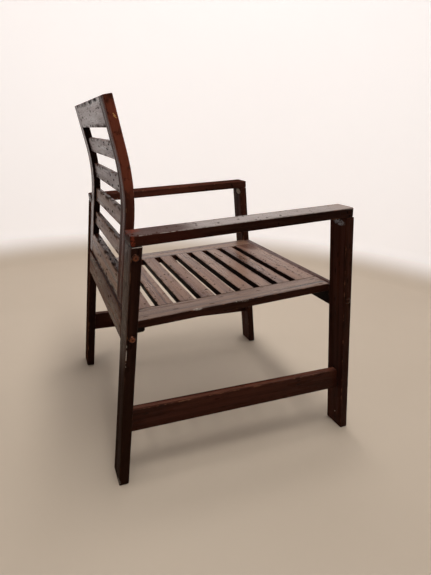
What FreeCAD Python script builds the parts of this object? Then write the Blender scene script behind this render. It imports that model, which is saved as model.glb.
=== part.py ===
import FreeCAD, Part
import math
import os

# Slatted wooden armchair of flat boards, millimetres.
# +Z is up, the sitter faces -Y, X runs across the seat.
# "left" is the sitter's left (+X), "right" is the sitter's right (-X).

# Overall
width = 626.0
half_width = width / 2

# Legs
leg_width = 62.0
leg_thickness = 22.0
rear_leg_tilt = -3.55
front_leg_tilt = 8.1
rear_foot_back_y = 319.6
front_foot_front_y = -319.9

# Armrests
armrest_thickness = 22.0
armrest_tilt = 5.3
armrest_under_z = 577.6
armrest_inset = 1.0
armrest_corner_r = 7.0

# Side stretchers
stretcher_height = 55.0
stretcher_thickness = 20.0
stretcher_bottom_z = 122.0

# Back frame
stile_width = 55.0
stile_depth = 18.0
stile_bottom_z = 409.0
stile_bend_z = 588.0
stile_bend_r = 430.0
stile_top_tilt = 14.0
stile_length = 415.5
wide_slat_height = 57.5
slat_height = 37.0
slat_pitch = 68.0
slat_thickness = 12.0
bottom_rail_centre = 31.0
first_slat_centre = 107.0
tenon_length = 12.0

# Cross rails
rear_rail_bottom_z = 335.0
rear_rail_height = 64.0
front_rail_bottom_z = 359.5
front_rail_height = 55.0

# Seat panel
seat_tilt = 4.9
seat_front_y = -238.4
seat_front_z = 414.2
seat_length = 514.5
seat_rail_width = 62.0
seat_rail_thickness = 20.0
seat_rail_gap = 1.0
seat_slat_width = 37.0
seat_slat_gap = 16.7
seat_end_slat_width = 61.0
seat_slat_thickness = 17.0
seat_slat_count = 7

# Rear seat bearer
bearer_depth = 28.0
bearer_thickness = 11.0
bearer_corner_r = 6.0

# Hardware
bolt_d = 6.0
bolt_hole_d = 6.6
bolt_length = 100.0
bolt_head_d = 15.0
bolt_head_height = 4.2
bolt_socket = 4.0
barrel_d = 10.0
barrel_length = 14.0
barrel_from_tip = 9.0
dowel_d = 8.0
dowel_clearance = 0.05
armrest_dowel_up = 13.0
screw_d = 4.0
screw_head_d = 8.0
screw_length = 44.0
back_bolt_z = 531.0
back_bolt_behind_centre = 2.0
rear_rail_bolt_z = 361.0

# Edge rounding
leg_round = 2.5
slat_round = 2.0
stile_round = 2.0

# Derived positions
leg_inner = half_width - leg_width
leg_centre_x = half_width - leg_width / 2
stile_inner = leg_inner - stile_width
rail_outer = leg_inner - seat_rail_gap
rail_inner = rail_outer - seat_rail_width


def vec(x, y, z):
    return FreeCAD.Vector(x, y, z)


def rad(angle):
    return math.radians(angle)


def rear_leg_back(z):
    return rear_foot_back_y + math.tan(rad(rear_leg_tilt)) * z


def rear_leg_front(z):
    return rear_leg_back(z) - leg_thickness / math.cos(rad(rear_leg_tilt))


def front_leg_front(z):
    return front_foot_front_y + math.tan(rad(front_leg_tilt)) * z


def front_leg_back(z):
    return front_leg_front(z) + leg_thickness / math.cos(rad(front_leg_tilt))


def armrest_under(y):
    return armrest_under_z - math.tan(rad(armrest_tilt)) * y


def prism(points, x0, x1):
    """Closed outline of (y, z) points, extruded from x0 to x1."""
    corners = [vec(x0, y, z) for y, z in points]
    wire = Part.makePolygon(corners + [corners[0]])
    return Part.Face(wire).extrude(vec(x1 - x0, 0, 0))


def long_edges(shape, direction):
    """Straight edges that run along a direction."""
    found = []
    for edge in shape.Edges:
        if not isinstance(edge.Curve, Part.Line):
            continue
        way = edge.Vertexes[-1].Point.sub(edge.Vertexes[0].Point)
        if way.Length > 1e-6 and abs(way.normalize().dot(direction)) > 0.999:
            found.append(edge)
    return found


def round_all(shape, radius):
    return shape.makeFillet(radius, shape.Edges)


def round_along(shape, radius, direction):
    return shape.makeFillet(radius, long_edges(shape, direction))


def tilted(shape, y, z, tilt):
    """Lean a shape backward by tilt degrees about the X axis, then move it to (y, z)."""
    shape.rotate(vec(0, 0, 0), vec(1, 0, 0), -tilt)
    shape.translate(vec(0, y, z))
    return shape


def mirrored(shape):
    return shape.mirror(vec(0, 0, 0), vec(1, 0, 0))


def save(shape, name):
    shape.exportStep("parts/" + name + ".step")


def on_line(front_y, back_y, z):
    return (front_y(z) + back_y(z)) / 2


def crossing(face_y, start_z):
    """Height where a leg face meets the underside of the armrest."""
    z = start_z
    for _ in range(30):
        z = armrest_under(face_y(z))
    return z


# Bolts run along X through the legs; each entry is (y, z).
front_bolt_z = front_rail_bottom_z + 0.52 * front_rail_height
bolt_axes = {
    "back": (on_line(rear_leg_front, rear_leg_back, back_bolt_z) + back_bolt_behind_centre, back_bolt_z),
    "rear": (on_line(rear_leg_front, rear_leg_back, rear_rail_bolt_z), rear_rail_bolt_z),
    "front": (on_line(front_leg_front, front_leg_back, front_bolt_z), front_bolt_z),
}
bolt_tip_x = half_width - bolt_length
barrel_x = bolt_tip_x + barrel_from_tip


def bolt_hole(key, x0, x1):
    y, z = bolt_axes[key]
    return Part.makeCylinder(bolt_hole_d / 2, x1 - x0, vec(x0, y, z), vec(1, 0, 0))


def lean_of(key):
    return {"back": rear_leg_tilt, "rear": rear_leg_tilt, "front": front_leg_tilt}[key]


def barrel_way(key):
    """Unit vector from the barrel hole's mouth into the wood."""
    lean = rad(lean_of(key))
    back = vec(0, math.cos(lean), -math.sin(lean))
    return back if key != "front" else back.negative()


def barrel_hole(key):
    y, z = bolt_axes[key]
    way = barrel_way(key)
    mouth = vec(barrel_x, y, z).sub(vec(way.x, way.y, way.z).multiply(20))
    return Part.makeCylinder(barrel_d / 2 + 0.1, 20 + barrel_length / 2, mouth, way)


def barrel_nut(key):
    y, z = bolt_axes[key]
    way = barrel_way(key)
    start = vec(barrel_x, y, z).sub(vec(way.x, way.y, way.z).multiply(barrel_length / 2))
    nut = Part.makeCylinder(barrel_d / 2, barrel_length, start, way)
    bore = Part.makeCylinder(bolt_d / 2 + 0.05, 40, vec(barrel_x - 20, y, z), vec(1, 0, 0))
    slot = Part.makeBox(barrel_d + 2, 3.0, 1.2, vec(-barrel_d / 2 - 1, -1.5, -0.6))
    slot.rotate(vec(0, 0, 0), vec(1, 0, 0), -lean_of(key))
    slot.translate(start)
    return nut.cut(bore).cut(slot)


# ---------------------------------------------------------------- side frames
def dowel_line(base, way, length):
    return Part.makeCylinder(dowel_d / 2 - dowel_clearance, length, base, way)


def dowel_bore(base, way, length):
    return Part.makeCylinder(dowel_d / 2, length + 1.0, base.sub(vec(way.x, way.y, way.z).multiply(0.5)), way)


def leg_top_dowels(front_y, back_y, tilt, depth):
    """Start points, direction and length of the two dowels that hold an armrest on a leg."""
    z_top = (crossing(front_y, 580) + crossing(back_y, 580)) / 2
    way = vec(0, math.sin(rad(tilt)), math.cos(rad(tilt)))
    y_top = on_line(front_y, back_y, z_top)
    bases = []
    for offset in (-15.0, 15.0):
        top = vec(leg_centre_x + offset, y_top, z_top)
        bases.append(top.sub(vec(way.x, way.y, way.z).multiply(depth)))
    return bases, way, depth + armrest_dowel_up


def stretcher_dowels():
    """The two dowels at each end of a stretcher, as (base, direction, length)."""
    rows = []
    for level in (-13.0, 13.0):
        z = stretcher_bottom_z + stretcher_height / 2 + level
        rows.append((vec(leg_centre_x, rear_leg_front(z) - 26.0, z), vec(0, 1, 0), 39.0))
        rows.append((vec(leg_centre_x, front_leg_back(z) + 26.0, z), vec(0, -1, 0), 39.0))
    return rows


rear_top = leg_top_dowels(rear_leg_front, rear_leg_back, rear_leg_tilt, 14.0)
front_top = leg_top_dowels(front_leg_front, front_leg_back, front_leg_tilt, 26.0)
armrest_dowel_set = [(b, rear_top[1], rear_top[2]) for b in rear_top[0]]
armrest_dowel_set += [(b, front_top[1], front_top[2]) for b in front_top[0]]
stretcher_dowel_set = stretcher_dowels()


def drill(shape, dowel_set):
    for base, way, length in dowel_set:
        shape = shape.cut(dowel_bore(base, way, length))
    return shape


def make_leg(front_y, back_y, keys):
    z_front = crossing(front_y, 580)
    z_back = crossing(back_y, 580)
    outline = [(front_y(0), 0), (back_y(0), 0), (back_y(z_back), z_back), (front_y(z_front), z_front)]
    leg = round_all(prism(outline, leg_inner, half_width), leg_round)
    for key in keys:
        leg = leg.cut(bolt_hole(key, leg_inner - 1, half_width + 1))
    return drill(leg, armrest_dowel_set + stretcher_dowel_set)


def make_armrest():
    y_back = rear_leg_back(crossing(rear_leg_back, 580))
    y_front = front_leg_front(crossing(front_leg_front, 580))
    length = (y_back - y_front) / math.cos(rad(armrest_tilt))
    width_here = leg_width - armrest_inset
    bar = Part.makeBox(width_here, length, armrest_thickness, vec(leg_inner, 0, 0))
    corners = []
    for edge in long_edges(bar, vec(0, 0, 1)):
        if edge.Vertexes[0].Point.x > leg_inner + 1:
            corners.append(edge)
    bar = bar.makeFillet(armrest_corner_r, corners)
    bar = round_all(bar, 3.0)
    bar.rotate(vec(0, 0, 0), vec(1, 0, 0), -armrest_tilt)
    bar.translate(vec(0, y_front, armrest_under(y_front)))
    return drill(bar, armrest_dowel_set)


def make_stretcher():
    z0 = stretcher_bottom_z
    z1 = z0 + stretcher_height
    x0 = leg_centre_x - stretcher_thickness / 2
    x1 = leg_centre_x + stretcher_thickness / 2
    outline = [(front_leg_back(z0), z0), (rear_leg_front(z0), z0)]
    outline += [(rear_leg_front(z1), z1), (front_leg_back(z1), z1)]
    bar = round_along(prism(outline, x0, x1), slat_round, vec(0, 1, 0))
    return drill(bar, stretcher_dowel_set)


# ---------------------------------------------------------------- back frame
bend_start_s = (stile_bend_z - stile_bottom_z) / math.cos(rad(rear_leg_tilt))
bend_s = stile_bend_r * rad(stile_top_tilt - rear_leg_tilt)
bend_start_y = rear_leg_back(stile_bend_z)


def bend_point(angle, radius):
    """Point of the bend at a lean angle; the bend's centre lies behind the back."""
    cy = bend_start_y + stile_bend_r * math.cos(rad(rear_leg_tilt))
    cz = stile_bend_z - stile_bend_r * math.sin(rad(rear_leg_tilt))
    return (cy - radius * math.cos(rad(angle)), cz + radius * math.sin(rad(angle)))


def stile_at(s):
    """Point (y, z) and lean of the stile's rear surface at a length s from its lower end."""
    if s < bend_start_s:
        lean = rear_leg_tilt
        y = rear_leg_back(stile_bottom_z) + s * math.sin(rad(lean))
        return y, stile_bottom_z + s * math.cos(rad(lean)), lean
    if s < bend_start_s + bend_s:
        lean = rear_leg_tilt + math.degrees((s - bend_start_s) / stile_bend_r)
        y, z = bend_point(lean, stile_bend_r)
        return y, z, lean
    y, z = bend_point(stile_top_tilt, stile_bend_r)
    rest = s - bend_start_s - bend_s
    lean = rad(stile_top_tilt)
    return y + rest * math.sin(lean), z + rest * math.cos(lean), stile_top_tilt


def stile_face():
    y0, z0, lean0 = stile_at(0)
    y3, z3, lean3 = stile_at(stile_length)
    mid = (rear_leg_tilt + stile_top_tilt) / 2
    outer = stile_bend_r + stile_depth

    def ahead(y, z, lean):
        return (y - stile_depth * math.cos(rad(lean)), z + stile_depth * math.sin(rad(lean)))

    def at(point):
        return vec(0, point[0], point[1])

    q0 = at(ahead(y0, z0, lean0))
    q3 = at(ahead(y3, z3, lean3))
    p1 = at(bend_point(rear_leg_tilt, stile_bend_r))
    p2 = at(bend_point(stile_top_tilt, stile_bend_r))
    q1 = at(bend_point(rear_leg_tilt, outer))
    q2 = at(bend_point(stile_top_tilt, outer))
    edges = [
        Part.LineSegment(at((y0, z0)), p1).toShape(),
        Part.Arc(p1, at(bend_point(mid, stile_bend_r)), p2).toShape(),
        Part.LineSegment(p2, at((y3, z3))).toShape(),
        Part.LineSegment(at((y3, z3)), q3).toShape(),
        Part.LineSegment(q3, q2).toShape(),
        Part.Arc(q2, at(bend_point(mid, outer)), q1).toShape(),
        Part.LineSegment(q1, q0).toShape(),
        Part.LineSegment(q0, at((y0, z0))).toShape(),
    ]
    return Part.Face(Part.Wire(edges))


def back_tenon(centre_s, height, thickness, inset):
    """Stub tenon on the +X end of a back slat."""
    tenon_h = height - 14.0
    tenon_t = thickness - 6.0
    tenon = Part.makeBox(tenon_length, tenon_t, tenon_h, vec(stile_inner, -inset - thickness + 3.0, -tenon_h / 2))
    tenon = round_along(tenon, 1.5, vec(1, 0, 0))
    y, z, lean = stile_at(centre_s)
    return tilted(tenon, y, z, lean)


def make_back_slat(centre_s, height, thickness, inset):
    """Flat slat between the stiles, its rear face set forward of theirs by inset."""
    bar = Part.makeBox(2 * stile_inner, thickness, height, vec(-stile_inner, -inset - thickness, -height / 2))
    bar = round_along(bar, slat_round, vec(1, 0, 0))
    y, z, lean = stile_at(centre_s)
    bar = tilted(bar, y, z, lean)
    tenon = back_tenon(centre_s, height, thickness, inset)
    return bar.fuse([tenon, mirrored(tenon)]).removeSplitter()


# name: (centre along the stile, height, thickness, inset of the rear face)
back_rows = {"back_bottom_rail": (bottom_rail_centre, wide_slat_height, stile_depth, 0.0)}
for row in range(4):
    centre = first_slat_centre + row * slat_pitch
    back_rows["back_slat_%d" % (row + 1)] = (centre, slat_height, slat_thickness, stile_depth - slat_thickness)
top_centre = stile_length - wide_slat_height / 2
back_rows["back_top_rail"] = (top_centre, wide_slat_height, stile_depth, 0.0)


def make_stile():
    stile = stile_face().extrude(vec(stile_width, 0, 0))
    stile.translate(vec(stile_inner, 0, 0))
    stile = round_all(stile, stile_round)
    for centre_s, height, thickness, inset in back_rows.values():
        stile = stile.cut(back_tenon(centre_s, height, thickness, inset))
    stile = stile.cut(bolt_hole("back", bolt_tip_x - 1, leg_inner + 1))
    return stile.cut(barrel_hole("back"))


# ---------------------------------------------------------------- cross rails
seat_forward = vec(0, -math.cos(rad(seat_tilt)), math.sin(rad(seat_tilt)))
seat_up = vec(0, math.sin(rad(seat_tilt)), math.cos(rad(seat_tilt)))


def seat_point(x, back, up):
    """Point of the seat panel: distance back from its front end and height above its top."""
    along = vec(seat_forward.x, seat_forward.y, seat_forward.z).multiply(-back)
    rise = vec(seat_up.x, seat_up.y, seat_up.z).multiply(up)
    return vec(x, seat_front_y, seat_front_z).add(along).add(rise)


def in_seat(shape, back, up):
    """Move a shape drawn with +Y to the back and +Z up into the seat panel's slope."""
    shape.rotate(vec(0, 0, 0), vec(1, 0, 0), -seat_tilt)
    shape.translate(seat_point(0, back, up))
    return shape


def front_seat_dowels():
    rows = []
    for offset in (-9.0, 17.0):
        x = (rail_inner + rail_outer) / 2 + offset
        rows.append((seat_point(x, 26.0, -seat_rail_thickness / 2), seat_forward, 39.0))
    return rows


seat_dowel_set = front_seat_dowels()
screw_xs = (60.0, 150.0)


def screw_axis(x):
    """Head end and direction of a screw through the bearer into the rear cross rail."""
    head = seat_point(x, seat_length - bearer_depth, -seat_rail_thickness - 1.5)
    return head, seat_forward.negative()


def make_screw(x):
    head, way = screw_axis(x)
    shank = Part.makeCylinder(screw_d / 2, screw_length, head, way)
    cone = Part.makeCone(screw_head_d / 2, screw_d / 2, 2.4, head, way)
    return shank.fuse(cone).removeSplitter()


def screw_hole(x):
    head, way = screw_axis(x)
    mouth = head.sub(vec(way.x, way.y, way.z).multiply(3))
    hole = Part.makeCylinder(screw_d / 2 + 0.05, screw_length + 3.2, mouth, way)
    mouth_cut = Part.makeCylinder(screw_head_d / 2 + 0.05, 3.0, mouth, way)
    sink = Part.makeCone(screw_head_d / 2 + 0.05, screw_d / 2 + 0.05, 2.4, head, way)
    return hole.fuse([mouth_cut, sink])


def make_rear_rail():
    bar = Part.makeBox(2 * leg_inner, leg_thickness, rear_rail_height, vec(-leg_inner, -leg_thickness, 0))
    bar = round_along(bar, slat_round, vec(1, 0, 0))
    z0 = rear_rail_bottom_z
    bar = tilted(bar, rear_leg_back(z0), z0, rear_leg_tilt)
    cut = bolt_hole("rear", bolt_tip_x - 1, leg_inner + 1).fuse(barrel_hole("rear"))
    bar = bar.cut(cut).cut(mirrored(cut))
    for x in screw_xs:
        bar = bar.cut(screw_hole(x)).cut(screw_hole(-x))
    return bar


def make_front_rail():
    bar = Part.makeBox(2 * leg_inner, leg_thickness, front_rail_height, vec(-leg_inner, 0, 0))
    bar = round_along(bar, slat_round, vec(1, 0, 0))
    z0 = front_rail_bottom_z
    bar = tilted(bar, front_leg_front(z0), z0, front_leg_tilt)
    cut = bolt_hole("front", bolt_tip_x - 1, leg_inner + 1).fuse(barrel_hole("front"))
    bar = bar.cut(cut).cut(mirrored(cut))
    for base, way, length in seat_dowel_set:
        bore = dowel_bore(base, way, length)
        bar = bar.cut(bore).cut(mirrored(bore))
    return bar


# ---------------------------------------------------------------- seat panel
def make_bearer():
    bar = Part.makeBox(2 * rail_outer, bearer_depth, bearer_thickness, vec(-rail_outer, 0, 0))
    front_low = []
    for edge in long_edges(bar, vec(1, 0, 0)):
        if edge.Vertexes[0].Point.y < 1 and edge.Vertexes[0].Point.z < 1:
            front_low.append(edge)
    bar = bar.makeFillet(bearer_corner_r, front_low)
    lap = seat_rail_thickness - seat_slat_thickness
    bar = in_seat(bar, seat_length - bearer_depth, -seat_rail_thickness + lap - bearer_thickness)
    for x in screw_xs:
        bar = bar.cut(screw_hole(x)).cut(screw_hole(-x))
    return bar


def seat_tenon(back, slat_width):
    """Stub tenon on the +X end of a seat slat."""
    tenon_w = slat_width - 14.0
    tenon_t = seat_slat_thickness - 7.0
    tenon = Part.makeBox(tenon_length, tenon_w, tenon_t, vec(rail_inner, 7.0, -seat_slat_thickness + 3.0))
    tenon = round_along(tenon, 1.5, vec(1, 0, 0))
    return in_seat(tenon, back, 0)


def make_seat_slat(back, slat_width):
    bar = Part.makeBox(2 * rail_inner, slat_width, seat_slat_thickness, vec(-rail_inner, 0, -seat_slat_thickness))
    bar = in_seat(round_along(bar, slat_round, vec(1, 0, 0)), back, 0)
    tenon = seat_tenon(back, slat_width)
    return bar.fuse([tenon, mirrored(tenon)]).removeSplitter()


# name: (distance of its front edge from the panel's front end, width)
seat_rows = {"seat_front_slat": (0.0, seat_end_slat_width)}
for row in range(seat_slat_count):
    start = seat_end_slat_width + seat_slat_gap + row * (seat_slat_width + seat_slat_gap)
    seat_rows["seat_slat_%d" % (row + 1)] = (start, seat_slat_width)
seat_rows["seat_rear_slat"] = (seat_length - seat_end_slat_width, seat_end_slat_width)


def make_seat_rail():
    size = vec(rail_inner, 0, -seat_rail_thickness)
    bar = Part.makeBox(seat_rail_width, seat_length, seat_rail_thickness, size)
    bar = round_along(bar, 2.5, vec(0, 1, 0))
    lap = seat_rail_thickness - seat_slat_thickness
    notch_at = vec(rail_inner - 1, seat_length - bearer_depth, -seat_rail_thickness - 1)
    notch = Part.makeBox(seat_rail_width + 2, bearer_depth + 1, lap + 1, notch_at)
    bar = in_seat(bar.cut(notch), 0, 0)
    for back, slat_width in seat_rows.values():
        bar = bar.cut(seat_tenon(back, slat_width))
    return drill(bar, seat_dowel_set)


# ---------------------------------------------------------------- hardware
def make_bolt(key):
    """Domed-head bolt with a hexagon socket, its head on the leg's outer face."""
    y, z = bolt_axes[key]
    r = bolt_head_d / 2
    h = bolt_head_height
    rim = 0.9
    p = [vec(0, 0, 0), vec(0, r, 0), vec(rim, r, 0), vec(h, 2.6, 0), vec(h, 0, 0)]
    crown = vec(rim + 0.75 * (h - rim), 0.74 * r, 0)
    edges = [
        Part.LineSegment(p[0], p[1]).toShape(),
        Part.LineSegment(p[1], p[2]).toShape(),
        Part.Arc(p[2], crown, p[3]).toShape(),
        Part.LineSegment(p[3], p[4]).toShape(),
        Part.LineSegment(p[4], p[0]).toShape(),
    ]
    head = Part.Face(Part.Wire(edges)).revolve(vec(0, 0, 0), vec(1, 0, 0), 360)
    across = bolt_socket / math.sqrt(3)
    ring = []
    for step in range(7):
        a = rad(60 * step)
        ring.append(vec(h - 2.4, across * math.cos(a), across * math.sin(a)))
    socket = Part.Face(Part.makePolygon(ring)).extrude(vec(4, 0, 0))
    shank = Part.makeCylinder(bolt_d / 2, bolt_length, vec(-bolt_length, 0, 0), vec(1, 0, 0))
    shank = shank.makeChamfer(0.8, [e for e in shank.Edges if e.BoundBox.XMax < -bolt_length + 0.1])
    bolt = head.cut(socket).fuse(shank).removeSplitter()
    bolt.translate(vec(half_width, y, z))
    return bolt


def both_sides(solids):
    return Part.makeCompound(solids + [mirrored(s) for s in solids])


def ended(dowel):
    return dowel.makeChamfer(0.8, [e for e in dowel.Edges if isinstance(e.Curve, Part.Circle)])


def dowel_group(dowel_set):
    return both_sides([ended(dowel_line(b, w, n)) for b, w, n in dowel_set])


os.makedirs("parts", exist_ok=True)

pairs = {
    "rear_leg": make_leg(rear_leg_front, rear_leg_back, ("back", "rear")),
    "front_leg": make_leg(front_leg_front, front_leg_back, ("front",)),
    "armrest": make_armrest(),
    "side_stretcher": make_stretcher(),
    "back_stile": make_stile(),
    "seat_side_rail": make_seat_rail(),
}
for name, shape in pairs.items():
    save(shape, name + "_left")
    save(mirrored(shape), name + "_right")

for name, row in back_rows.items():
    save(make_back_slat(*row), name)
for name, row in seat_rows.items():
    save(make_seat_slat(*row), name)

save(make_rear_rail(), "rear_cross_rail")
save(make_front_rail(), "front_cross_rail")
save(make_bearer(), "rear_seat_bearer")

keys = ("back", "rear", "front")
save(both_sides([make_bolt(key) for key in keys]), "bolts")
save(both_sides([barrel_nut(key) for key in keys]), "barrel_nuts")
save(dowel_group(armrest_dowel_set), "armrest_dowels")
save(dowel_group(stretcher_dowel_set), "stretcher_dowels")
save(dowel_group(seat_dowel_set), "seat_dowels")
save(both_sides([make_screw(x) for x in screw_xs]), "bearer_screws")
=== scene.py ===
import math
import random

import bpy
from mathutils import Euler, Matrix, Vector

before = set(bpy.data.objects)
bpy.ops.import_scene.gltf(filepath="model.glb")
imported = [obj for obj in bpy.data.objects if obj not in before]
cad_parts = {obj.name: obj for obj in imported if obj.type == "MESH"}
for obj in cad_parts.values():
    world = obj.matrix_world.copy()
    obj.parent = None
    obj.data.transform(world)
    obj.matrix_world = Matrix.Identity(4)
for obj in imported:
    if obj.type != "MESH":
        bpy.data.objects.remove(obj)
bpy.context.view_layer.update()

random.seed(11)

# ------------------------------------------------------------------ geometry facts
# Lengths are in metres. The right side (-X) is the near one in the camera's view.
X_AXIS, Y_AXIS, Z_AXIS = 0, 1, 2
UP, REARWARD, SIDEWAYS = (0, 0, 1), (0, 1, 0), (1, 0, 0)
INWARD = {"left": (-1, 0, 0), "right": (1, 0, 0)}
REAR_LEAN = math.radians(-3.55)
FRONT_LEAN = math.radians(8.1)
TOP_LEAN = math.radians(14.0)
SLAT_3_LEAN = math.radians(4.0)
SLAT_4_LEAN = math.radians(13.0)
ARMREST_SLOPE = math.radians(5.3)
SEAT_SLOPE = math.radians(4.9)
# radius and centre of the back stiles' bend
BEND_RADIUS = 0.430
BEND_Y = 0.7123
BEND_Z = 0.6146


# ------------------------------------------------------------------ shader helper
# a mix node's sockets for colours, by number because their names are not unique
MIX_FACTOR, MIX_A, MIX_B, MIX_RESULT = 0, 6, 7, 2


class Shader:
    """One node material with a Principled surface, and short calls that add nodes to it."""

    def __init__(self, name):
        self.material = bpy.data.materials.new(name)
        self.material.use_nodes = True
        self.nodes = self.material.node_tree.nodes
        self.links = self.material.node_tree.links
        self.nodes.clear()
        self.surface = self.nodes.new("ShaderNodeBsdfPrincipled")
        output = self.nodes.new("ShaderNodeOutputMaterial")
        self.links.new(self.surface.outputs["BSDF"], output.inputs["Surface"])

    def put(self, socket, value):
        """Links one socket into another, or sets the socket to a constant."""
        if isinstance(value, bpy.types.NodeSocket):
            self.links.new(value, socket)
        else:
            socket.default_value = value

    def set_surface(self, name, value):
        self.put(self.surface.inputs[name], value)

    def calc(self, operation, a, b=0.0, c=0.0):
        node = self.nodes.new("ShaderNodeMath")
        node.operation = operation
        for socket, value in zip(node.inputs, (a, b, c)):
            self.put(socket, value)
        return node.outputs[0]

    def times(self, a, b):
        return self.calc("MULTIPLY", a, b)

    def plus(self, value, part, weight):
        """value + part * weight."""
        return self.calc("MULTIPLY_ADD", part, weight, value)

    def less(self, value, mask, amount=1.0):
        """value * (1 - mask * amount)."""
        return self.times(value, self.plus(1.0, mask, -amount))

    def step(self, value, low, high, out_low=0.0, out_high=1.0):
        """Smooth step from out_low at low to out_high at high, where low may be the larger number."""
        node = self.nodes.new("ShaderNodeMapRange")
        node.interpolation_type = "SMOOTHSTEP"
        limits = {"From Min": low, "From Max": high, "To Min": out_low, "To Max": out_high}
        for name, number in limits.items():
            node.inputs[name].default_value = number
        self.put(node.inputs["Value"], value)
        return node.outputs["Result"]

    def vector(self, operation, a, b=(0.0, 0.0, 0.0)):
        node = self.nodes.new("ShaderNodeVectorMath")
        node.operation = operation
        self.put(node.inputs[0], a)
        self.put(node.inputs[1], b)
        return node.outputs["Value" if operation in ("DOT_PRODUCT", "LENGTH") else "Vector"]

    def parts(self, value):
        node = self.nodes.new("ShaderNodeSeparateXYZ")
        self.put(node.inputs[0], value)
        return list(node.outputs)

    def joined(self, x, y, z):
        node = self.nodes.new("ShaderNodeCombineXYZ")
        for socket, value in zip(node.inputs, (x, y, z)):
            self.put(socket, value)
        return node.outputs[0]

    def noise(self, where, scale=1.0, detail=3.0, roughness=0.55):
        node = self.nodes.new("ShaderNodeTexNoise")
        node.inputs["Scale"].default_value = scale
        node.inputs["Detail"].default_value = detail
        node.inputs["Roughness"].default_value = roughness
        self.put(node.inputs["Vector"], where)
        return node.outputs[0]

    def cells(self, where, scale=1.0):
        """Distance from the middle of the nearest cell."""
        node = self.nodes.new("ShaderNodeTexVoronoi")
        node.inputs["Scale"].default_value = scale
        self.put(node.inputs["Vector"], where)
        return node.outputs["Distance"]

    def mix(self, factor, a, b):
        """Colour a where factor is 0, and b where it is 1."""
        node = self.nodes.new("ShaderNodeMix")
        node.data_type = "RGBA"
        self.put(node.inputs[MIX_FACTOR], factor)
        for number, value in ((MIX_A, a), (MIX_B, b)):
            self.put(node.inputs[number], (*value, 1.0) if isinstance(value, tuple) else value)
        return node.outputs[MIX_RESULT]

    def bump(self, height, distance, strength):
        node = self.nodes.new("ShaderNodeBump")
        node.inputs["Distance"].default_value = distance
        node.inputs["Strength"].default_value = strength
        self.put(node.inputs["Height"], height)
        self.set_surface("Normal", node.outputs[0])

    def position(self):
        return self.nodes.new("ShaderNodeTexCoord").outputs["Object"]

    def normal_toward(self, way):
        """Cosine between the surface normal and a direction."""
        return self.vector("DOT_PRODUCT", self.nodes.new("ShaderNodeNewGeometry").outputs["Normal"], way)

    def segment_distance(self, where, start, end):
        """Distance from a line segment."""
        way = Vector(end) - Vector(start)
        offset = self.vector("SUBTRACT", where, tuple(start))
        along = self.vector("DOT_PRODUCT", offset, tuple(way / way.length_squared))
        along = self.calc("MINIMUM", self.calc("MAXIMUM", along, 0.0), 1.0)
        node = self.nodes.new("ShaderNodeVectorMath")
        node.operation = "SCALE"
        node.inputs[0].default_value = tuple(way)
        self.put(node.inputs["Scale"], along)
        return self.vector("LENGTH", self.vector("SUBTRACT", offset, node.outputs[0]))


# ------------------------------------------------------------------ board coordinates
def curved(point):
    """Board coordinates on a bent stile: across, through its depth, along its length."""
    lean = min(max(math.atan2(point.z - BEND_Z, BEND_Y - point.y), REAR_LEAN), TOP_LEAN)
    back, up = BEND_Y - point.y, point.z - BEND_Z
    depth = back * math.cos(lean) + up * math.sin(lean) - BEND_RADIUS
    along = BEND_RADIUS * lean + up * math.cos(lean) - back * math.sin(lean)
    return Vector((point.x, depth, along))


def curved_nodes(shader, where):
    """The same as curved(), in nodes."""
    x, y, z = shader.parts(where)
    back = shader.calc("SUBTRACT", BEND_Y, y)
    up = shader.calc("SUBTRACT", z, BEND_Z)
    lean = shader.calc("ARCTAN2", up, back)
    lean = shader.calc("MINIMUM", shader.calc("MAXIMUM", lean, REAR_LEAN), TOP_LEAN)
    cosine, sine = shader.calc("COSINE", lean), shader.calc("SINE", lean)
    rise = shader.calc("SUBTRACT", shader.times(up, sine), BEND_RADIUS)
    depth = shader.plus(rise, back, cosine)
    along = shader.plus(shader.times(lean, BEND_RADIUS), up, cosine)
    along = shader.calc("SUBTRACT", along, shader.times(back, sine))
    return shader.joined(x, depth, along)


def board_box(node, lean):
    """Centre and half size of a board in its own coordinates."""
    points = [v.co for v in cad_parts[node].data.vertices]
    if lean is None:
        points = [curved(p) for p in points]
    else:
        turn = Euler((lean, 0, 0)).to_matrix()
        points = [turn @ p for p in points]
    low = Vector([min(p[i] for p in points) for i in range(3)])
    high = Vector([max(p[i] for p in points) for i in range(3)])
    return (low + high) / 2, (high - low) / 2


def board_nodes(shader, where, node, lean):
    """Sockets with the board coordinates about its centre, and the distance to the nearest arris."""
    centre, half = board_box(node, lean)
    if lean is None:
        where = curved_nodes(shader, where)
    else:
        mapping = shader.nodes.new("ShaderNodeMapping")
        mapping.inputs["Rotation"].default_value = (lean, 0, 0)
        shader.put(mapping.inputs["Vector"], where)
        where = mapping.outputs[0]
    local = shader.vector("SUBTRACT", where, tuple(centre))
    gap = shader.parts(shader.vector("SUBTRACT", tuple(half), shader.vector("ABSOLUTE", local)))
    lower = shader.calc("MINIMUM", gap[0], gap[1])
    upper = shader.calc("MAXIMUM", gap[0], gap[1])
    # the middle one of the three gaps
    edge = shader.calc("MAXIMUM", lower, shader.calc("MINIMUM", upper, gap[2]))
    return local, edge


def grain_way(lean, grain):
    """World direction of a board's grain. A bent stile's is taken at its top."""
    if grain == X_AXIS:
        return (1.0, 0.0, 0.0)
    turn = Euler((TOP_LEAN if lean is None else lean, 0, 0)).to_matrix()
    return tuple(turn.transposed().col[grain])


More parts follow.
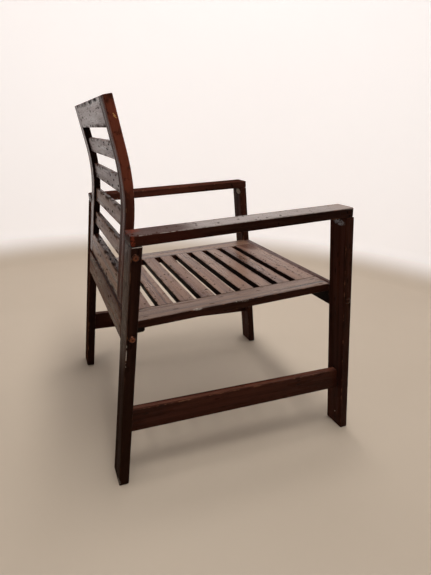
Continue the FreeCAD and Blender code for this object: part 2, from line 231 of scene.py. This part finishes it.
# ------------------------------------------------------------------ wood
DARK = (0.0085, 0.0032, 0.0020)
MID = (0.034, 0.0125, 0.0075)
WARM = (0.135, 0.036, 0.020)
# tints of the dull coat on a board's main face: dusty, and a painted sheen that lightens that face
GREY_DUST_AND_SHEEN = (0.160, 0.113, 0.115)
PALE_DUST_AND_SHEEN = (0.190, 0.147, 0.132)
BROWN = (0.220, 0.121, 0.077)
RED_BROWN = (0.240, 0.090, 0.056)
SOOT = (0.004, 0.002, 0.0015)
SHADE = (0.0025, 0.0012, 0.0008)
END_GRAIN = (0.0055, 0.0055, 0.0045)
# bare wood; along the arrises it is also a painted highlight
BARE = (0.20, 0.092, 0.050)

# cosine of the angle off a direction: up to the first a face doesn't look that way, from the second it does
FACE_TURN = (0.4, 0.9)
# fine bump of grain and pits
BUMP_DEPTH = 0.00035
# refraction of the finish, low because most boards hardly reflect
FINISH_IOR = 1.3


class BoardShader(Shader):
    """Material of one board, with patterns that follow its grain. A bent stile's lean is None."""

    def __init__(self, node, lean, grain):
        super().__init__("stained_wood_" + node)
        self.grain = grain
        self.grain_way = grain_way(lean, grain)
        self.where = self.position()
        local, self.edge = board_nodes(self, self.where, node, lean)
        shift = tuple(random.uniform(-9, 9) for _ in range(3))
        self.local = self.vector("ADD", local, shift)

    def stretched(self, across, along):
        """Board coordinates scaled by one number across the grain and by another along it."""
        scale = [across] * 3
        scale[self.grain] = along
        return self.vector("MULTIPLY", self.local, tuple(scale))

    def streaks(self, across, along, detail=3.0, roughness=0.55):
        """Noise with its own scale across the grain and along it."""
        return self.noise(self.stretched(across, along), detail=detail, roughness=roughness)

    def shaded(self, facing, shade, shade_way):
        """Deep shade on the faces toward shade_way, or on all but the main one."""
        if shade_way:
            return self.step(self.normal_toward(shade_way), *FACE_TURN, 0.0, shade)
        return self.times(self.calc("SUBTRACT", 1.0, facing), shade)

    def pits(self, pitted, pit):
        """Fine pores, and round pits in crowds."""
        pore = self.step(self.streaks(900, 24, detail=1.0), 0.60, 0.70)
        speck = self.step(self.cells(self.stretched(*pit)), 0.15, 0.23, 1.0, 0.0)
        crowd = self.step(self.streaks(22, 8), 0.40, 0.52, 0.0, pitted)
        return self.calc("MAXIMUM", self.times(pore, 0.4), self.times(speck, crowd))

    def soil(self, grime):
        """Patches of dirt near the arrises."""
        patch = self.step(self.streaks(70, 24, detail=4.0), 0.46, 0.64, 0.0, grime)
        return self.times(patch, self.step(self.edge, 0.011, 0.002))

    def end_grain(self):
        """The faces that cut across the grain."""
        toward = self.calc("ABSOLUTE", self.normal_toward(self.grain_way))
        return self.step(toward, 0.75, 0.95, 0.0, 0.85)

    def worn_and_highlit(self, wear):
        """A ragged bare strip along the arrises: bare wood, and a painted highlight."""
        rub = self.noise(self.vector("ADD", self.local, (3.1, 1.7, 5.3)), 34.0, detail=5.0, roughness=0.7)
        reach = self.step(rub, 0.42, 0.72, 0.0, 0.0024)
        strip = self.step(self.calc("SUBTRACT", self.edge, reach), 0.0004, -0.0006)
        return self.times(strip, wear)


def wood(node, lean, grain, warmth, dust, wear, sheen, face=UP, tint=GREY_DUST_AND_SHEEN, pitted=0.5, pit=(74, 26),
         grime=0.35, even=0.10, spread=0.0, side_sheen=0.10, shade=0.0, shade_way=None, marks=()):
    """Dark stained wood of one board.

    lean, grain: the board's lean about X, or None for a bent stile, and the axis of its grain.
    warmth: strength of the red blotches.
    dust, tint: strength and colour of a dull coat on the main face: a dusty dullness, and a painted sheen
    that lightens that face.
    wear, grime: strength of the bare arrises, partly a painted highlight, and of the dirt near them.
    face, sheen, side_sheen: the way the main face looks, its reflection and that of the other faces.
    even, spread: least share of the sheen between its streaks, and how far the dull coat and the sheen
    spread.
    pitted, pit: strength of the pits, and their number per metre across and along the grain.
    shade, shade_way: strength of the deep shade, and the way its face looks, or None for all side faces.
    marks: single marks made by rubbed() and scratch().
    """
    board = BoardShader(node, lean, grain)
    broad = board.streaks(55, 1.6, roughness=0.6)
    fine = board.streaks(340, 6, roughness=0.6)
    blotch = board.streaks(18, 3.5)
    facing = board.step(board.normal_toward(face), *FACE_TURN)
    # dull coat on the main face: dusty, and a painted sheen that lightens that face
    dust_and_sheen_film = board.step(board.streaks(60, 1.3, detail=4.0, roughness=0.65), 0.36 - spread, 0.62 - spread)
    dust_and_sheen_film = board.times(board.times(facing, dust_and_sheen_film), dust)
    pits = board.pits(pitted, pit)
    dark = board.calc("MAXIMUM", pits, board.soil(grime))
    # bare arrises: bare wood, and a painted highlight along the edges
    worn_and_highlit = board.worn_and_highlit(wear)

    streak = board.plus(board.times(fine, 0.4), broad, 0.6)
    colour = board.mix(board.step(streak, 0.34, 0.66), DARK, MID)
    warm = board.times(board.step(blotch, 0.35, 0.65, 0.4, 1.0), warmth)
    colour = board.mix(warm, colour, WARM)
    colour = board.mix(board.shaded(facing, shade, shade_way), colour, SHADE)
    colour = board.mix(dust_and_sheen_film, colour, tint)
    colour = board.mix(dark, colour, SOOT)
    colour = board.mix(board.end_grain(), colour, END_GRAIN)
    colour = board.mix(worn_and_highlit, colour, BARE)

    polish = board.streaks(48, 1.5, detail=5.0, roughness=0.7)
    polish = board.step(polish, 0.40 - spread, 0.58 - spread, even, 1.0)
    shine = board.calc("SUBTRACT", board.times(polish, sheen), side_sheen)
    shine = board.plus(side_sheen, facing, shine)
    shine = board.less(shine, dark)

    rough = board.step(blotch, 0.3, 0.7, 0.20, 0.33)
    rough = board.plus(rough, dust_and_sheen_film, 0.08)
    rough = board.plus(rough, dark, 0.65)
    rough = board.plus(rough, worn_and_highlit, 0.15)

    for mark in marks:
        mask, mark_colour = mark(board)
        colour = board.mix(mask, colour, mark_colour)
        rough = board.plus(rough, mask, 0.2)
        shine = board.less(shine, mask, 0.85)

    height = board.plus(board.times(broad, 0.3), fine, 0.35)
    height = board.plus(height, pits, -2.2)
    height = board.plus(height, worn_and_highlit, -0.3)
    board.set_surface("Base Color", colour)
    board.set_surface("Roughness", rough)
    board.set_surface("Specular IOR Level", shine)
    board.set_surface("IOR", FINISH_IOR)
    board.bump(height, BUMP_DEPTH, 0.7)
    return board.material


# ------------------------------------------------------------------ single marks
PALE = (0.50, 0.44, 0.39)
# colour of a painted highlight
PALE_HIGHLIGHT = (0.27, 0.215, 0.19)
RED = (0.24, 0.045, 0.022)
RED_STAIN = (0.240, 0.062, 0.034)
DARK_RED = (0.050, 0.011, 0.006)
DARK_STAIN = (0.040, 0.011, 0.007)
NEAR_BLACK = (0.020, 0.0085, 0.005)
RUST = (0.34, 0.15, 0.08)
GOLD = (0.62, 0.33, 0.11)
BLUISH = (0.40, 0.42, 0.46)


def rubbed(centre, radii, tint, amount, scale, sparse):
    """A ragged patch inside an ellipsoid. A higher sparse leaves less of it."""
    def mark(board):
        inverse = tuple(1.0 / r for r in radii)
        offset = board.vector("MULTIPLY", board.vector("SUBTRACT", board.where, centre), inverse)
        near = board.step(board.vector("LENGTH", offset), 0.55, 1.0, 1.0, 0.0)
        grit = board.noise(board.where, scale, detail=5.0, roughness=0.7)
        ragged = board.step(grit, sparse - 0.06, sparse + 0.06)
        return board.times(board.times(near, ragged), amount), tint
    return mark


def scratch(start, end, half_width, tint, amount, broken=0.0):
    """A thin scratch or worn line between two points. A higher broken leaves more gaps in it."""
    def mark(board):
        wobble = board.noise(board.where, 160.0, detail=2.0)
        gap = board.segment_distance(board.where, start, end)
        gap = board.calc("SUBTRACT", gap, board.times(wobble, half_width))
        line = board.step(gap, half_width * 0.6, -half_width * 0.2)
        breaks = board.noise(board.where, 110.0, detail=4.0, roughness=0.7)
        kept = board.step(breaks, broken - 0.05, broken + 0.05)
        return board.times(board.times(line, kept), amount), tint
    return mark


MARKS = {
    "back_stile_right": (
        # red-brown upper half of the side
        rubbed((-0.251, 0.285, 0.735), (0.020, 0.090, 0.120), RED_STAIN, amount=0.50, scale=34, sparse=0.45),
        # rust speck
        rubbed((-0.251, 0.268, 0.695), (0.006, 0.006, 0.016), RUST, amount=0.7, scale=220, sparse=0.50),
        # two gold scratches near the top
        scratch((-0.251, 0.3025, 0.7893), (-0.251, 0.2985, 0.7855), 0.0011, GOLD, amount=0.9),
        scratch((-0.251, 0.3012, 0.7855), (-0.251, 0.2970, 0.7822), 0.0011, GOLD, amount=0.9),
        # bluish scuff above the armrest
        rubbed((-0.251, 0.262, 0.605), (0.004, 0.004, 0.020), BLUISH, amount=0.5, scale=240, sparse=0.56),
        # thin dark line across the rear face
        scratch((-0.2490, 0.2904, 0.471), (-0.1980, 0.2904, 0.471), 0.0008, SOOT, amount=0.9),
    ),
    "rear_leg_right": (
        # painted shade on the lower half of the rear face, near black
        rubbed((-0.285, 0.318, 0.120), (0.080, 0.050, 0.260), NEAR_BLACK, amount=0.95, scale=12, sparse=0.1),
        # chipped arris below the lower bolt, and a painted highlight along the leg's top edge under the
        # armrest
        scratch((-0.3125, 0.2975, 0.348), (-0.3125, 0.3005, 0.300), 0.0016, PALE, amount=0.9, broken=0.50),
        scratch((-0.3128, 0.2640, 0.5525), (-0.3128, 0.2850, 0.5508), 0.0012, PALE, amount=0.9),
        # chips low down
        rubbed((-0.252, 0.311, 0.151), (0.004, 0.004, 0.006), PALE, amount=0.8, scale=200, sparse=0.4),
        rubbed((-0.306, 0.318, 0.008), (0.010, 0.006, 0.008), PALE, amount=0.7, scale=260, sparse=0.5),
        rubbed((-0.254, 0.317, 0.035), (0.004, 0.004, 0.030), BARE, amount=0.8, scale=160, sparse=0.5),
    ),
    "front_leg_right": (
        # scuff under the armrest, and a chip near the foot
        rubbed((-0.286, -0.216, 0.583), (0.024, 0.012, 0.009), BLUISH, amount=0.8, scale=200, sparse=0.47),
        rubbed((-0.287, -0.292, 0.040), (0.0022, 0.004, 0.0022), PALE, amount=1.0, scale=60, sparse=0.0),
    ),
    "front_leg_left": (
        # scuff under the armrest
        rubbed((0.270, -0.214, 0.584), (0.020, 0.012, 0.011), PALE, amount=0.9, scale=200, sparse=0.42),
    ),
    "armrest_right": (
        # dark rear end with red corners
        rubbed((-0.285, 0.230, 0.572), (0.060, 0.130, 0.026), DARK_STAIN, amount=0.9, scale=16, sparse=0.30),
        rubbed((-0.262, 0.276, 0.574), (0.030, 0.022, 0.012), RED, amount=0.50, scale=120, sparse=0.50),
        rubbed((-0.312, 0.284, 0.562), (0.007, 0.008, 0.016), RED, amount=0.80, scale=260, sparse=0.50),
        # pale line along the outer top arris, in two halves: bare wood and a painted highlight
        scratch((-0.3115, 0.270, 0.5742), (-0.3115, 0.020, 0.5975), 0.0011, PALE, amount=0.6, broken=0.44),
        scratch((-0.3115, 0.020, 0.5975), (-0.3115, -0.225, 0.6203), 0.0011, PALE, amount=0.5, broken=0.40),
        # painted highlight on the front end
        rubbed((-0.285, -0.215, 0.627), (0.060, 0.100, 0.014), PALE_HIGHLIGHT, amount=0.85, scale=20, sparse=0.2),
    ),
    "seat_side_rail_right": (
        # dark line where the slats meet the rail
        scratch((-0.1888, -0.2384, 0.4141), (-0.1888, 0.2742, 0.3701), 0.0018, SOOT, amount=0.85),
        # chips on the outer arris
        rubbed((-0.248, 0.122, 0.383), (0.004, 0.014, 0.004), PALE, amount=1.0, scale=260, sparse=0.46),
        rubbed((-0.248, 0.010, 0.392), (0.004, 0.030, 0.004), PALE, amount=0.7, scale=260, sparse=0.56),
    ),
    "back_top_rail": (
        # dirt along the top
        rubbed((0.0, 0.315, 0.822), (0.36, 0.060, 0.015), SOOT, amount=0.85, scale=70, sparse=0.52),
    ),
    "seat_front_slat": (
        # painted reflection of the far front leg at the far end, dark red
        rubbed((0.190, -0.216, 0.411), (0.090, 0.034, 0.030), DARK_RED, amount=0.7, scale=30, sparse=0.2),
    ),
}


# ------------------------------------------------------------------ metal and dowels
def bronze():
    """Bolts: mottled, scuffed bright, with painted shade on the heads' rims, and tarnished on the front
    legs.
    """
    shader = Shader("bolt_bronze")
    where = shader.position()
    patina = shader.noise(where, 420.0, detail=4.0, roughness=0.65)
    scuff = shader.noise(shader.vector("MULTIPLY", where, (1, 3, 3)), 700.0)
    # painted shade on the heads' rims, where they turn away from the side
    outward = shader.calc("ABSOLUTE", shader.normal_toward(SIDEWAYS))
    rim_shade = shader.step(outward, 0.72, 0.93, 0.85, 0.0)
    tarnish = shader.step(shader.parts(where)[Y_AXIS], -0.20, -0.10, 0.85, 0.0)
    base, mottle, bright = (0.27, 0.10, 0.055), (0.050, 0.020, 0.013), (0.68, 0.44, 0.32)
    rim_shade_brown, tarnish_brown = (0.035, 0.015, 0.010), (0.035, 0.016, 0.011)
    colour = shader.mix(shader.step(patina, 0.42, 0.66), base, mottle)
    colour = shader.mix(shader.step(scuff, 0.62, 0.72, 0.0, 0.8), colour, bright)
    colour = shader.mix(rim_shade, colour, rim_shade_brown)
    colour = shader.mix(tarnish, colour, tarnish_brown)
    shader.set_surface("Base Color", colour)
    shader.set_surface("Roughness", shader.step(patina, 0.3, 0.7, 0.16, 0.42))
    shader.set_surface("Metallic", 1.0)
    shader.bump(patina, 0.0002, 0.5)
    return shader.material


def zinc():
    """Galvanised steel of the barrel nuts and screws."""
    shader = Shader("zinc_steel")
    spangle = shader.cells(shader.position(), 500.0)
    dark_grey, pale_grey = (0.42, 0.42, 0.41), (0.66, 0.66, 0.64)
    shader.set_surface("Base Color", shader.mix(spangle, dark_grey, pale_grey))
    shader.set_surface("Roughness", shader.step(spangle, 0.1, 0.7, 0.3, 0.5))
    shader.set_surface("Metallic", 1.0)
    shader.bump(spangle, 0.0001, 0.4)
    return shader.material


def beech():
    """Bare wood of the dowels."""
    shader = Shader("beech_dowel")
    along_x = shader.vector("MULTIPLY", shader.position(), (600, 80, 80))
    grain = shader.noise(along_x, detail=4.0, roughness=0.6)
    late_wood, early_wood = (0.42, 0.27, 0.15), (0.66, 0.48, 0.31)
    shader.set_surface("Base Color", shader.mix(grain, late_wood, early_wood))
    shader.set_surface("Roughness", shader.step(grain, 0.2, 0.8, 0.5, 0.7))
    shader.bump(grain, 0.0002, 0.4)
    return shader.material


# ------------------------------------------------------------------ who gets what
def give(node, material):
    """Puts one material in every slot of a node."""
    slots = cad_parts[node].material_slots
    for slot in slots:
        slot.material = material
    if not slots:
        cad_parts[node].data.materials.append(material)


def board(node, lean, grain, **finish):
    """Gives a board a wood of its own, with the single marks listed for it."""
    give(node, wood(node, lean, grain, marks=MARKS.get(node, ()), **finish))


rear_leg_sheen = {"left": 0.0, "right": 0.045}
stile_sheen = {"left": 0.40, "right": 0.03}
for side in ("left", "right"):
    board("rear_leg_" + side, REAR_LEAN, Z_AXIS, warmth=0.10, dust=0.12, wear=0.5, tint=BROWN,
          sheen=rear_leg_sheen[side], even=0.30, face=REARWARD, shade=0.3)
    board("front_leg_" + side, FRONT_LEAN, Z_AXIS, warmth=0.20, dust=0.05, wear=0.5,
          sheen=0.03, side_sheen=0.08, face=REARWARD)
    board("side_stretcher_" + side, 0.0, Y_AXIS, warmth=0.25, dust=0.60, wear=0.6, tint=RED_BROWN,
          sheen=0.15)
    board("seat_side_rail_" + side, SEAT_SLOPE, Y_AXIS, warmth=0.15, dust=0.90, wear=0.9, tint=BROWN,
          sheen=1.00, even=0.45, spread=0.06)
    board("back_stile_" + side, None, Z_AXIS, warmth=0.65, dust=0.15, wear=0.7,
          sheen=stile_sheen[side], face=REARWARD, shade=0.9, shade_way=INWARD[side])

# The near armrest's top gets a strong pale coat, partly a painted sheen that makes it lighter than the far
# one's, which gets almost none.
board("armrest_right", ARMREST_SLOPE, Y_AXIS, warmth=0.08, dust=0.90, wear=0.8, tint=PALE_DUST_AND_SHEEN,
      sheen=1.00, even=0.60, spread=0.14, pitted=1.0, pit=(50, 75))
board("armrest_left", ARMREST_SLOPE, Y_AXIS, warmth=0.40, dust=0.05, wear=0.8,
      sheen=0.0, pitted=0.8, pit=(50, 75))

# The upper boards get a grey-violet coat and the lower ones a brown one: dusty, and painted reflections,
# grey of the wall on the upper boards and brown of the floor on the lower ones.
back_boards = (
    # node, lean, warmth, dust, sheen, tint
    ("back_bottom_rail", REAR_LEAN, 0.50, 0.90, 0.26, BROWN),
    ("back_slat_1", REAR_LEAN, 0.40, 0.75, 0.26, BROWN),
    ("back_slat_2", REAR_LEAN, 0.35, 0.65, 0.36, BROWN),
    ("back_slat_3", SLAT_3_LEAN, 0.30, 0.80, 0.50, GREY_DUST_AND_SHEEN),
    ("back_slat_4", SLAT_4_LEAN, 0.30, 1.00, 1.00, GREY_DUST_AND_SHEEN),
    ("back_top_rail", TOP_LEAN, 0.30, 1.00, 1.00, GREY_DUST_AND_SHEEN),
)
for node, lean, warmth, dust, sheen, tint in back_boards:
    board(node, lean, X_AXIS, warmth=warmth, dust=dust, wear=0.6, tint=tint,
          sheen=sheen, even=0.30, face=REARWARD, pitted=1.0, grime=0.7)

# The front slat and slats 1 to 4 get a stronger coat than slats 5 to 7 and the rear slat: a painted sheen
# that makes them lighter.
seat_slats = [
    # node, dust, sheen
    ("seat_front_slat", 0.85, 1.0),
    ("seat_rear_slat", 0.65, 0.8),
]
seat_slats += [("seat_slat_%d" % number, 0.85, 0.9) for number in (1, 2, 3, 4)]
seat_slats += [("seat_slat_%d" % number, 0.75, 0.8) for number in (5, 6, 7)]
for node, dust, sheen in seat_slats:
    board(node, SEAT_SLOPE, X_AXIS, warmth=0.55, dust=dust, wear=0.8, tint=BROWN,
          sheen=sheen, side_sheen=0.01, even=0.50, spread=0.07, pitted=0.9, pit=(74, 60),
          shade=0.9, shade_way=REARWARD)

board("front_cross_rail", FRONT_LEAN, X_AXIS, warmth=0.3, dust=0.5, wear=0.5,
      sheen=0.20, side_sheen=0.05, shade=0.9, shade_way=REARWARD)
board("rear_cross_rail", REAR_LEAN, X_AXIS, warmth=0.35, dust=0.30, wear=0.5, tint=BROWN,
      sheen=0.05, face=REARWARD, pitted=0.9)
board("rear_seat_bearer", SEAT_SLOPE, X_AXIS, warmth=0.2, dust=0.3, wear=0.3, sheen=0.05)

give("bolts", bronze())
zinc_steel = zinc()
for node in ("barrel_nuts", "bearer_screws"):
    give(node, zinc_steel)
dowel_wood = beech()
for node in ("armrest_dowels", "stretcher_dowels", "seat_dowels"):
    give(node, dowel_wood)


# ------------------------------------------------------------------ floor, light, camera
INNER_RING = 0.6
FLOOR_RADIUS = 1.57
COVE_RADIUS = 0.18
WALL_RADIUS = FLOOR_RADIUS + COVE_RADIUS
WALL_TOP = 2.7
RING_POINTS = 96
COVE_STEPS = 12
# level direction in which the wall is brightest, of about unit length
BRIGHT_WAY = (0.911, -0.412, 0.0)
# the point that all lights aim at
CHAIR_MIDDLE = (0.0, 0.0, 0.45)

CAMERA_PLACE = (-1.096, 0.451, 0.757)
CAMERA_YAW = math.radians(-24.36)
CAMERA_PITCH = math.radians(-18.18)
CAMERA_ROLL = math.radians(3.20)
SENSOR_WIDTH = 36.0
LENS = 26.8
LENS_SHIFT = (-0.0097, -0.015)


def studio_mesh():
    """Round floor that curves up into a wall, seen from inside."""
    profile = [(INNER_RING, 0.0), (FLOOR_RADIUS, 0.0)]
    for i in range(1, COVE_STEPS + 1):
        turn = math.radians(90 * i / COVE_STEPS)
        radius = FLOOR_RADIUS + COVE_RADIUS * math.sin(turn)
        profile.append((radius, COVE_RADIUS - COVE_RADIUS * math.cos(turn)))
    profile.append((WALL_RADIUS, WALL_TOP))
    points = [(0.0, 0.0, 0.0)]
    faces = []
    for ring, (radius, height) in enumerate(profile):
        first = 1 + ring * RING_POINTS
        for i in range(RING_POINTS):
            turn = 2 * math.pi * i / RING_POINTS
            points.append((radius * math.cos(turn), radius * math.sin(turn), height))
            a, b = first + i, first + (i + 1) % RING_POINTS
            if ring == 0:
                faces.append((0, a, b))
            else:
                faces.append((a - RING_POINTS, a, b, b - RING_POINTS))
    mesh = bpy.data.meshes.new("studio_floor")
    mesh.from_pydata(points, [], faces)
    mesh.polygons.foreach_set("use_smooth", [True] * len(faces))
    return mesh


def studio_material():
    """Concrete floor and a wall that brightens and glows toward one side."""
    shader = Shader("studio_floor")
    where = shader.position()
    cloud = shader.noise(where, 1.6, detail=4.0)
    high = shader.step(shader.parts(where)[Z_AXIS], 0.01, 0.16)
    side = shader.vector("DOT_PRODUCT", where, tuple(v / WALL_RADIUS for v in BRIGHT_WAY))
    dark_ground, pale_ground = (0.50, 0.42, 0.33), (0.56, 0.48, 0.385)
    dark_wall, pale_wall = (0.30, 0.28, 0.27), (0.72, 0.69, 0.68)
    ground = shader.mix(cloud, dark_ground, pale_ground)
    wall = shader.mix(shader.step(side, -1.0, 0.7), dark_wall, pale_wall)
    shader.set_surface("Base Color", shader.mix(high, ground, wall))
    shader.set_surface("Roughness", 0.75)
    shader.set_surface("Emission Color", (1.0, 0.965, 0.955, 1.0))
    shader.set_surface("Emission Strength", shader.times(shader.step(side, -0.6, 1.0, 0.0, 0.42), high))
    return shader.material


def make_studio():
    mesh = studio_mesh()
    mesh.materials.append(studio_material())
    floor = bpy.data.objects.new("studio_floor", mesh)
    bpy.context.scene.collection.objects.link(floor)


def area_light(name, place, size, power, colour):
    data = bpy.data.lights.new(name, "AREA")
    data.shape = "RECTANGLE"
    data.size, data.size_y = size
    data.energy = power
    data.color = colour
    light = bpy.data.objects.new(name, data)
    light.location = place
    light.visible_camera = False
    light.rotation_euler = (Vector(CHAIR_MIDDLE) - Vector(place)).to_track_quat("-Z", "Y").to_euler()
    bpy.context.scene.collection.objects.link(light)


def make_world():
    world = bpy.data.worlds.new("studio")
    bpy.context.scene.world = world
    world.use_nodes = True
    background = world.node_tree.nodes["Background"]
    background.inputs["Color"].default_value = (0.80, 0.79, 0.80, 1.0)
    background.inputs["Strength"].default_value = 0.20


def make_camera():
    """Camera turned by yaw and pitch, then rolled about the way it looks."""
    level_reach = math.cos(CAMERA_PITCH)
    forward = Vector((level_reach * math.cos(CAMERA_YAW), level_reach * math.sin(CAMERA_YAW),
                      math.sin(CAMERA_PITCH)))
    level = Vector((math.sin(CAMERA_YAW), -math.cos(CAMERA_YAW), 0.0))
    upright = level.cross(forward)
    right = math.cos(CAMERA_ROLL) * level + math.sin(CAMERA_ROLL) * upright
    up = math.cos(CAMERA_ROLL) * upright - math.sin(CAMERA_ROLL) * level
    data = bpy.data.cameras.new("camera")
    data.sensor_width = SENSOR_WIDTH
    data.lens = LENS
    data.shift_x, data.shift_y = LENS_SHIFT
    camera = bpy.data.objects.new("camera", data)
    turn = Matrix((right, up, -forward)).transposed().to_4x4()
    camera.matrix_world = Matrix.Translation(CAMERA_PLACE) @ turn
    bpy.context.scene.collection.objects.link(camera)
    bpy.context.scene.camera = camera


make_studio()
make_world()
area_light("ceiling_strip", place=(-0.45, 0.10, 2.40), size=(0.25, 1.6), power=34.0,
           colour=(1.0, 0.965, 0.93))
area_light("rear_softbox", place=(0.2, 1.50, 1.9), size=(1.2, 0.8), power=2.2,
           colour=(1.0, 0.96, 0.96))
area_light("far_softbox", place=(1.30, -0.75, 2.1), size=(1.6, 0.8), power=5.0,
           colour=(1.0, 0.97, 0.98))
make_camera()

bpy.context.scene.view_settings.view_transform = "Standard"
